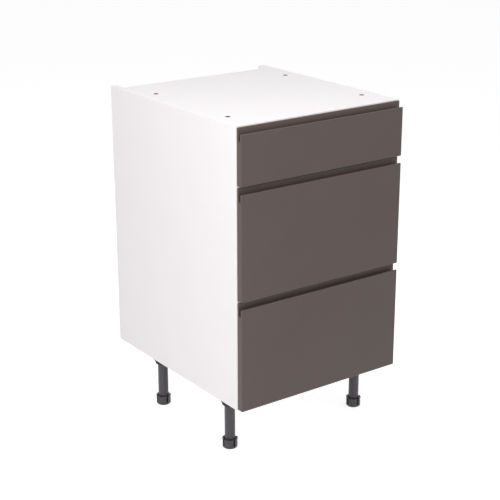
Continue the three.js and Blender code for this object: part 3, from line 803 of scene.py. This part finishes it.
def pulled_up(node, part, lift, sheet, tree, settings, finish):
    """A node's folded section pulled up to its top from so far above its foot."""
    points, top = end_loop(node, 2, 1)
    radii = fold_radii(points, settings.fold_radius, sheet)
    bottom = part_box(node)[0].z + lift
    start = Vector((0, 0, bottom))
    return pulled_bar(f"{node}_{part}", tree, points, radii, top - bottom, PULLED_UP, start, finish)


class CABINET_OT_drawer_sides(bpy.types.Operator):
    """Make the double-walled steel sides and their front brackets"""

    bl_idname = "cabinet.drawer_sides"
    bl_label = "Make Drawer Sides"

    def execute(self, context):
        settings = context.scene.cabinet_steel
        coat = make_material("powder_coated_steel", settings.coat_colour)
        plating = make_material("zinc_plated_steel", settings.plate_colour)
        tree = section_tree()
        for name, hand in DRAWER_SIDES:
            node = f"{name}_drawer_side_{hand}"
            side = folded_piece(node, tree, settings, coat)
            if name in DEEP_DRAWERS:
                lift, sheet = settings.upright_foot, settings.upright_sheet
                join(side, pulled_up(node, "upright", lift, sheet, tree, settings, coat))
            finish_piece(side, node, "side_steel", FOLD_CREASE)
            node = f"{name}_front_bracket_{hand}"
            sheet = settings.bracket_sheet
            bracket = pulled_up(node, "folded", 0, sheet, tree, settings, plating)
            finish_piece(bracket, node, "runner_zinc", FOLD_CREASE)
        return {"FINISHED"}


def rail_tree():
    """A round rod on a straight line, with a collar at each end."""
    inputs = {
        "Rod radius": "Float",
        "Collar radius": "Float",
        "Collar length": "Float",
        "Front": "Vector",
        "Rear": "Vector",
        "Finish": "Material",
    }
    tree, given = start_group("Round rail", inputs, "Rail")
    front, rear = given["Front"], given["Rear"]
    reach = add(tree, "ShaderNodeCombineXYZ", {"Y": given["Collar length"]})
    behind = add(tree, "ShaderNodeVectorMath", {0: front, 1: reach}, operation="ADD")
    ahead = add(tree, "ShaderNodeVectorMath", {0: rear, 1: reach}, operation="SUBTRACT")
    joined = add(tree, "GeometryNodeJoinGeometry")
    for start, end, radius in (
        (front, rear, "Rod radius"),
        (front, behind, "Collar radius"),
        (ahead, rear, "Collar radius"),
    ):
        line = add(tree, "GeometryNodeCurvePrimitiveLine", {"Start": start, "End": end})
        ring = {"Radius": given[radius], "Resolution": RAIL_SIDES}
        circle = add(tree, "GeometryNodeCurvePrimitiveCircle", ring)
        pulled = {"Curve": line, "Profile Curve": circle, "Fill Caps": True}
        bar = add(tree, "GeometryNodeCurveToMesh", pulled)
        tree.links.new(bar.outputs["Mesh"], joined.inputs["Geometry"])
    return end_group(tree, joined, given["Finish"], "Rail")


class RailSettings(bpy.types.PropertyGroup):
    """Sizes of the deep drawers' gallery rails."""

    rod_radius: measure("Rod radius", "Radius of the rail", 5)
    collar_radius: measure("Collar radius", "Radius of the end collars", 7.2)
    collar_length: measure("Collar length", "Length of an end collar", 9)
    edge_radius: measure("Edge radius", "Rounding of the ends and collars", 0.6)


class CABINET_OT_rails(bpy.types.Operator):
    """Make the round gallery rails of the deep drawers"""

    bl_idname = "cabinet.rails"
    bl_label = "Make Gallery Rails"

    def execute(self, context):
        settings = context.scene.cabinet_rails
        finish = make_material("powder_coated_steel", context.scene.cabinet_steel.coat_colour)
        tree = rail_tree()
        for name, hand in DRAWER_SIDES:
            if name not in DEEP_DRAWERS:
                continue
            node = f"{name}_gallery_rail_{hand}"
            low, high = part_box(node)
            middle = (low + high) / 2
            rail = make_piece(f"{node}_coated", bpy.data.meshes.new(node))
            run_tree(rail, tree, {
                "Rod radius": settings.rod_radius,
                "Collar radius": settings.collar_radius,
                "Collar length": settings.collar_length,
                "Front": (middle.x, low.y, middle.z),
                "Rear": (middle.x, high.y, middle.z),
                "Finish": finish,
            })
            soften(rail, settings.edge_radius)
            finish_piece(rail, node, "side_steel", RAIL_CREASE)
        return {"FINISHED"}


# ---------- legs ----------


def turned(shape, profile, centre, steps, first=0.0, sweep=2 * math.pi):
    """Turns a closed [radius, height] profile round an upright axis, wholly or in part."""
    whole = sweep > 2 * math.pi - TINY
    rings = []
    for i in range(steps if whole else steps + 1):
        turn = first + sweep * i / steps
        out = Vector((math.cos(turn), math.sin(turn), 0))
        rings.append([shape.verts.new(centre + out * r + Vector((0, 0, z))) for r, z in profile])
    skin(shape, rings + rings[:1] if whole else rings)
    if not whole:
        shape.faces.new(rings[0])
        shape.faces.new(rings[-1])


class LegSettings(bpy.types.PropertyGroup):
    """Sizes and colour of the legs."""

    tube_wall: measure("Tube wall", "Wall thickness of the tube", 2.2)
    cup_radius: measure("Cup radius", "Outer radius of the foot's cup", 19.5)
    cup_bore: measure("Cup bore", "Inner radius of the foot's cup", 15.2)
    sill: measure("Sill", "Height where the cup's slots begin", 7)
    slot_width: measure("Slot width", "Width of the slots between the grips", 5)
    flare: measure("Flare", "Height over which the grips flare out", 3)
    cup_height: measure("Cup height", "Height of the foot's cup", 26)
    cup_floor: measure("Cup floor", "Thickness of the foot's sole", 4)
    cup_chamfer: measure("Cup chamfer", "Chamfer round the foot's sole", 3)
    rim_height: measure("Rim height", "Height of the grips' rim", 2)
    lead_in: measure("Lead-in", "Bevel inside the grips' rim", 0.7)
    spindle_radius: measure("Spindle radius", "Radius of the foot's spindle", 6)
    nut_height: measure("Nut height", "Height of the nut in the tube's end", 12)
    thread_play: measure("Thread play", "Gap round the spindle in its nut", 0.4)
    eased_edge: measure("Eased edge", "Bevel on the ends of the tube and spindle", 1)
    foot_edge: measure("Foot edge", "Rounding of the foot's moulded edges", 0.35)
    socket_edge: measure("Socket edge", "Rounding of the socket's moulded edges", 0.4)
    steps: IntProperty(name="Steps", description="Faces round a turned piece", default=64, min=16)
    plastic_colour: tint("Plastic", "Colour of the tubes and feet", "39343a")
    # Near black, partly painted shade that stands in for the deep shadow under the base panel.
    socket_colour_and_shade: tint("Socket", "Colour of the sockets", "100e10")


def mould(node, shape, finish, edge=0):
    """Makes a shape a moulded plastic piece in its node's place, with its edges rounded so far."""
    piece = make_piece(f"{node}_moulded", mesh_from(shape, node), [finish])
    if edge > 0:
        soften(piece, edge, MOULDED_CORNER_ANGLE)
    finish_piece(piece, node, "leg_plastic", MOULD_CREASE)


def foot_shape(node, settings):
    """A foot: a chamfered cup, four flared grips round it, and the spindle in its middle."""
    centre, rim, height = upright_sizes(node)
    cup, bore, spindle = settings.cup_radius, settings.cup_bore, settings.spindle_radius
    sill, eased = settings.sill, settings.eased_edge
    shape = bmesh.new()
    turned(shape, [
        (0, 0), (cup - settings.cup_chamfer, 0), (cup, settings.cup_chamfer), (cup, sill),
        (bore, sill), (bore, settings.cup_floor), (spindle, settings.cup_floor),
        (spindle, height - eased), (spindle - eased, height), (0, height),
    ], centre, settings.steps)
    top = settings.cup_height
    rim_bottom = top - settings.rim_height
    sunk = sill - eased
    gap = math.asin(settings.slot_width / 2 / cup)
    for quarter in range(4):
        turned(shape, [
            (bore, sunk), (cup, sunk), (cup, rim_bottom - settings.flare), (rim, rim_bottom),
            (rim, top), (bore + settings.lead_in, top), (bore, top - settings.lead_in),
        ], centre, settings.steps // 4, quarter * math.pi / 2 + gap, math.pi / 2 - 2 * gap)
    return shape


def tube_shape(node, settings):
    """A leg's tube: a smooth pipe with eased ends and a nut moulded into its lower end."""
    centre, radius, height = upright_sizes(node)
    bore = radius - settings.tube_wall
    nut_bore = settings.spindle_radius + settings.thread_play
    eased = settings.eased_edge
    shape = bmesh.new()
    turned(shape, [
        (nut_bore, 0), (radius - eased, 0), (radius, eased), (radius, height), (bore, height),
        (bore, settings.nut_height), (nut_bore, settings.nut_height),
    ], centre, settings.steps)
    return shape


class CABINET_OT_legs(bpy.types.Operator):
    """Make the legs: sockets, tubes and screw-in feet"""

    bl_idname = "cabinet.legs"
    bl_label = "Make Legs"

    def execute(self, context):
        settings = context.scene.cabinet_legs
        plastic = make_material("moulded_abs", settings.plastic_colour)
        black = make_material("filled_polypropylene", settings.socket_colour_and_shade)
        for place in LEG_PLACES:
            socket, tube, foot = (f"leg_{part}_{place}" for part in ("socket", "tube", "foot"))
            mould(socket, copy_of(socket), black, settings.socket_edge)
            mould(tube, tube_shape(tube, settings), plastic)
            mould(foot, foot_shape(foot, settings), plastic, settings.foot_edge)
        return {"FINISHED"}


# ---------- screws ----------


# A screw head of radius 1: its rings' heights and radii, and its cross recess.
HEAD_SIDES = 16
HEAD_RINGS = ((0.0, 1.0), (0.2, 0.97), (0.36, 0.85), (0.45, 0.62))
RECESS_ARM = 0.46
RECESS_HALF_WIDTH = 0.09
RECESS_DEPTH = 0.34
RECESS_TAPER = 0.7


def screw_head(finish, recess):
    """A pan head of radius 1 on Z, with a cross recess in its top."""
    shape = bmesh.new()
    turns = [2 * math.pi * i / HEAD_SIDES for i in range(HEAD_SIDES)]
    rings = []
    for height, radius in HEAD_RINGS:
        spots = [(radius * math.cos(turn), radius * math.sin(turn), height) for turn in turns]
        rings.append([shape.verts.new(spot) for spot in spots])
    skin(shape, rings)
    shape.faces.new(reversed(rings[0]))
    arm, half = RECESS_ARM, RECESS_HALF_WIDTH
    corner = [(arm, -half), (arm, half), (half, half)]
    cross = []
    for quarter in range(4):
        turn = Matrix.Rotation(math.pi / 2 * quarter, 2)
        cross += [turn @ Vector(point) for point in corner]
    top = HEAD_RINGS[-1][0]
    floor = top - RECESS_DEPTH
    upper = [shape.verts.new((p.x, p.y, top)) for p in cross]
    lower = [shape.verts.new((p.x * RECESS_TAPER, p.y * RECESS_TAPER, floor)) for p in cross]
    for face in [*skin(shape, [upper, lower]), shape.faces.new(lower)]:
        face.material_index = 1
    rim = [e for e in shape.edges if len(e.link_faces) == 1]
    bmesh.ops.triangle_fill(shape, use_beauty=True, use_dissolve=False, edges=rim)
    return make_piece("screw_head_pattern", mesh_from(shape, "screw_head"), [finish, recess])


def screw_tree():
    """Sets a screw head on every place, turned the way the place faces and sized by it.

    The head's own recess material stays, and all else gets the finish.
    """
    inputs = {"Places": "Geometry", "Head": "Object", "Finish": "Material"}
    tree, given = start_group("Screws", inputs, "Screws")
    head = add(tree, "GeometryNodeObjectInfo", {"Object": given["Head"], "As Instance": True})
    attribute = "GeometryNodeInputNamedAttribute"
    facing = add(tree, attribute, {"Name": "facing"}, data_type="FLOAT_VECTOR")
    radius = add(tree, attribute, {"Name": "head_radius"}, data_type="FLOAT")
    heads = add(tree, "GeometryNodeInstanceOnPoints", {
        "Points": add(tree, "GeometryNodeMeshToPoints", {"Mesh": given["Places"]}),
        "Instance": head.outputs["Geometry"],
        "Rotation": add(tree, "FunctionNodeAlignRotationToVector", {"Vector": facing}, axis="Z"),
        "Scale": radius,
    })
    numbers = {COMPARE_FIRST: add(tree, "GeometryNodeInputMaterialIndex"), COMPARE_SECOND: 0}
    plated = add(tree, "FunctionNodeCompare", numbers, data_type="INT", operation="EQUAL")
    return end_group(tree, heads, given["Finish"], "Screws", plated)


class ScrewSettings(bpy.types.PropertyGroup):
    """Sizes and places of the screw heads."""

    runner_head: measure("Runner head", "Radius of the runner and bracket screws' heads", 3.6)
    flange_head: measure("Flange head", "Radius of the leg flange screws' heads", 3.9)
    base_head: measure("Base head", "Radius of the heads under the drawer bases", 3.2)
    runner_height: measure("Runner height", "Height of the screws above a runner's foot", 38)
    flange_inset: measure("Flange inset", "From a leg flange's rim to its screws", 7)
    flange_drop: measure("Flange drop", "From the base panel down to a flange's lower face", 4.3)
    bracket_inset: measure("Bracket inset", "From a bracket's inner edge to its screws", 6)
    bracket_end: measure("Bracket end", "From a bracket's end to its screw", 8)
    base_inset: measure("Base inset", "From a drawer base's side edge to its screws", 6.5)
    shelf: measure("Shelf", "Thickness of the shelf under a drawer base", 1.5)
    recess_colour: tint("Recess", "Colour in the heads' cross recess", "3a3a3c")


DOWN = Vector((0, 0, -1))
BASE_PANEL_UNDERSIDE = 150 * MM

# Where the screws stand along a runner, and along a drawer's base as shares of its depth.
RUNNER_SCREW_PLACES = (34 * MM, 258 * MM, 450 * MM)
BASE_SCREW_SHARES = (0.12, 0.5, 0.88)


def member_screws(node, sheet, settings):
    """The screws that hold a cabinet member to its side panel, facing into the cabinet."""
    low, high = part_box(node)
    inwards = -1 if low.x > 0 else 1
    plate = high.x - sheet if inwards < 0 else low.x + sheet
    height = low.z + settings.runner_height
    facing = Vector((inwards, 0, 0))
    return [
        (Vector((plate, low.y + place, height)), facing, settings.runner_head)
        for place in RUNNER_SCREW_PLACES
    ]


def socket_screws(node, settings):
    """The four screws that hold a socket's flange up against the base panel."""
    centre, radius, _ = upright_sizes(node)
    circle = radius - settings.flange_inset
    flange_bottom = BASE_PANEL_UNDERSIDE - settings.flange_drop
    places = []
    for quarter in range(4):
        turn = math.pi / 4 + quarter * math.pi / 2
        x = centre.x + circle * math.cos(turn)
        y = centre.y + circle * math.sin(turn)
        places.append((Vector((x, y, flange_bottom)), DOWN, settings.flange_head))
    return places


def bracket_screws(node, sheet, settings):
    """The two screws that hold a bracket's face plate to the back of the front."""
    low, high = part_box(node)
    x = low.x + settings.bracket_inset if low.x > 0 else high.x - settings.bracket_inset
    facing = Vector((0, 1, 0))
    return [
        (Vector((x, low.y + sheet, z)), facing, settings.runner_head)
        for z in (low.z + settings.bracket_end, high.z - settings.bracket_end)
    ]


def base_screws(name, hand, settings):
    """The screws under a side's shelf that hold the base board."""
    low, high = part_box(f"{name}_drawer_base")
    x = HANDS[hand] * (high.x - settings.base_inset)
    under = low.z - settings.shelf
    depth = high.y - low.y
    return [
        (Vector((x, low.y + share * depth, under)), DOWN, settings.base_head)
        for share in BASE_SCREW_SHARES
    ]


class CABINET_OT_screws(bpy.types.Operator):
    """Set every visible screw head, one set for each body"""

    bl_idname = "cabinet.screws"
    bl_label = "Set Screws"

    def execute(self, context):
        settings = context.scene.cabinet_screws
        steel = context.scene.cabinet_steel
        plating = make_material("zinc_plated_steel", steel.plate_colour)
        head = screw_head(plating, make_material("shadowed_recess", settings.recess_colour))
        tree = screw_tree()
        places = {body: [] for body in ("carcass", *(f"{name}_drawer" for name in DRAWERS))}
        for place in LEG_PLACES:
            places["carcass"] += socket_screws(f"leg_socket_{place}", settings)
        for name, hand in DRAWER_SIDES:
            member = f"{name}_runner_cabinet_member_{hand}"
            bracket = f"{name}_front_bracket_{hand}"
            places["carcass"] += member_screws(member, steel.sheet, settings)
            places[f"{name}_drawer"] += bracket_screws(bracket, steel.bracket_sheet, settings)
            places[f"{name}_drawer"] += base_screws(name, hand, settings)
        for body, spots in places.items():
            mesh = bpy.data.meshes.new(f"{body}_screws")
            mesh.from_pydata([place for place, _, _ in spots], [], [])
            facing = mesh.attributes.new("facing", "FLOAT_VECTOR", "POINT")
            facing.data.foreach_set("vector", [c for _, way, _ in spots for c in way])
            radius = mesh.attributes.new("head_radius", "FLOAT", "POINT")
            radius.data.foreach_set("value", [size for _, _, size in spots])
            screws = make_piece(f"{body}_screws", mesh)
            run_tree(screws, tree, {"Head": head, "Finish": plating})
            seat(screws, body, "runner_zinc")
        bpy.data.objects.remove(head)
        return {"FINISHED"}


# ---------- stage ----------


def seen_rays(tree):
    """1 for a ray that shows the background itself, in the view, a gloss or a glass."""
    rays = add(tree, "ShaderNodeLightPath").outputs
    seen = {0: rays["Is Camera Ray"], 1: rays["Is Glossy Ray"]}
    either = add(tree, "ShaderNodeMath", seen, operation="MAXIMUM")
    seen = {0: either, 1: rays["Is Transmission Ray"]}
    return add(tree, "ShaderNodeMath", seen, operation="MAXIMUM")


def pale_floor(colour, lift):
    """A plain pale floor that keeps the cabinet's soft shadow but shows near white."""
    material, tree = start_material("pale_floor")
    matt = add(tree, "ShaderNodeBsdfDiffuse", {"Color": colour})
    strength = add(tree, "ShaderNodeMath", {0: seen_rays(tree), 1: lift}, operation="MULTIPLY")
    glow = add(tree, "ShaderNodeEmission", {"Strength": strength})
    both = add(tree, "ShaderNodeAddShader", {0: matt, 1: glow})
    add(tree, "ShaderNodeOutputMaterial", {"Surface": both})
    return material


def white_room(fill):
    """A world that shows white, and lights the cabinet at the fill level."""
    world = bpy.data.worlds.new("white_room")
    world.use_nodes = True
    tree = world.node_tree
    tree.nodes.clear()
    levels = {"Value": seen_rays(tree), "To Min": fill, "To Max": 1.0}
    strength = add(tree, "ShaderNodeMapRange", levels)
    sky = add(tree, "ShaderNodeBackground", {"Color": linear("ffffff"), "Strength": strength})
    add(tree, "ShaderNodeOutputWorld", {"Surface": sky})
    return world


def softbox(name, place, target, size, power):
    """A square lamp that faces its target."""
    data = bpy.data.lights.new(name, "AREA")
    data.shape = "SQUARE"
    data.size = size
    data.energy = power
    lamp = bpy.data.objects.new(name, data)
    lamp.location = place
    lamp.rotation_euler = (Vector(target) - Vector(place)).to_track_quat("-Z", "Y").to_euler()
    bpy.context.scene.collection.objects.link(lamp)


class StageSettings(bpy.types.PropertyGroup):
    """The camera, the lamps and the floor."""

    camera_place: FloatVectorProperty(
        name="Camera", description="Where the camera stands", subtype="TRANSLATION", size=3,
        default=(-1.8951, -2.6004, 1.5482),
    )
    camera_azimuth: bearing("Azimuth", "How far round the cabinet the camera stands", -35.92)
    camera_elevation: bearing("Elevation", "How far down the camera looks", 18.94)
    camera_roll: bearing("Roll", "How far the camera leans", -0.06)
    lens: FloatProperty(
        name="Lens", description="Focal length on a 36 mm sensor", default=91.63, min=10, max=500
    )
    fill: FloatProperty(name="Fill", description="Even light from all round", default=0.445)
    left_power: wattage("Left", "Power of the left softbox", 30)
    top_power: wattage("Top", "Power of the overhead softbox", 26)
    right_power: wattage("Right", "Power of the right softbox", 10)
    rear_power: wattage("Rear", "Power of the rear softbox", 10)
    floor_colour: tint("Floor", "Colour of the floor", "dddddd")
    floor_lift: FloatProperty(
        name="Floor lift", description="How much whiter the floor shows", default=0.645
    )


# Each softbox: where it stands, where it points, its size, and the setting that holds its power.
SOFTBOXES = {
    "left_softbox": ((-1.9, -1.25, 1.6), (-0.1, -0.1, 0.5), 1.2, "left_power"),
    "overhead_softbox": ((-0.4, -1.1, 2.6), (0, -0.1, 0.8), 1.8, "top_power"),
    "right_softbox": ((2.0, 0.1, 0.62), (0.25, 0.0, 0.5), 1.0, "right_power"),
    "rear_softbox": ((0.1, 2.3, 0.62), (0, 0.29, 0.5), 1.0, "rear_power"),
}
FLOOR_HALF = 9.0
SENSOR_WIDTH_MM = 36


class CABINET_OT_stage(bpy.types.Operator):
    """Set the pale floor, the soft studio light and the camera"""

    bl_idname = "cabinet.stage"
    bl_label = "Set Stage"

    def execute(self, context):
        scene = context.scene
        settings = scene.cabinet_stage
        shape = bmesh.new()
        bmesh.ops.create_grid(shape, x_segments=1, y_segments=1, size=FLOOR_HALF)
        floor_material = pale_floor(settings.floor_colour, settings.floor_lift)
        floor = make_piece("studio_floor", mesh_from(shape, "studio_floor"), [floor_material])
        scene.world = white_room(settings.fill)
        for name, (place, target, size, power_setting) in SOFTBOXES.items():
            softbox(name, place, target, size, getattr(settings, power_setting))
        camera = bpy.data.cameras.new("product_camera")
        camera.sensor_width = SENSOR_WIDTH_MM
        camera.lens = settings.lens
        view = bpy.data.objects.new("product_camera", camera)
        tilt = math.pi / 2 - settings.camera_elevation
        turn = Euler((tilt, 0, settings.camera_azimuth)).to_matrix()
        lean = Matrix.Rotation(settings.camera_roll, 3, "Z")
        place = Matrix.Translation(settings.camera_place)
        view.matrix_world = place @ (turn @ lean).to_4x4()
        scene.collection.objects.link(view)
        scene.camera = view
        scene.view_settings.view_transform = "Standard"
        return {"FINISHED"}


# ---------- panel and registration ----------


OPERATORS = (
    CABINET_OT_boards,
    CABINET_OT_fronts,
    CABINET_OT_runners,
    CABINET_OT_drawer_sides,
    CABINET_OT_rails,
    CABINET_OT_legs,
    CABINET_OT_screws,
    CABINET_OT_stage,
)
STEPS = [operator.bl_idname for operator in OPERATORS]


class CABINET_PT_steps(bpy.types.Panel):
    """Lists the cabinet's steps in the order they run"""

    bl_label = "Base Cabinet"
    bl_idname = "CABINET_PT_steps"
    bl_space_type = "VIEW_3D"
    bl_region_type = "UI"
    bl_category = "Cabinet"

    def draw(self, context):
        for step in STEPS:
            self.layout.operator(step)


SETTINGS = {
    "cabinet_boards": BoardSettings,
    "cabinet_fronts": FrontSettings,
    "cabinet_steel": SteelSettings,
    "cabinet_rails": RailSettings,
    "cabinet_legs": LegSettings,
    "cabinet_screws": ScrewSettings,
    "cabinet_stage": StageSettings,
}
CLASSES = (*SETTINGS.values(), *OPERATORS, CABINET_PT_steps)


def register():
    for made in CLASSES:
        bpy.utils.register_class(made)
    for name, group in SETTINGS.items():
        setattr(bpy.types.Scene, name, PointerProperty(type=group))


def unregister():
    for name in SETTINGS:
        delattr(bpy.types.Scene, name)
    for made in reversed(CLASSES):
        bpy.utils.unregister_class(made)


def main():
    """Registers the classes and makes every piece."""
    register()
    for step in STEPS:
        family, action = step.split(".")
        getattr(getattr(bpy.ops, family), action)()


if __name__ == "__main__":
    main()
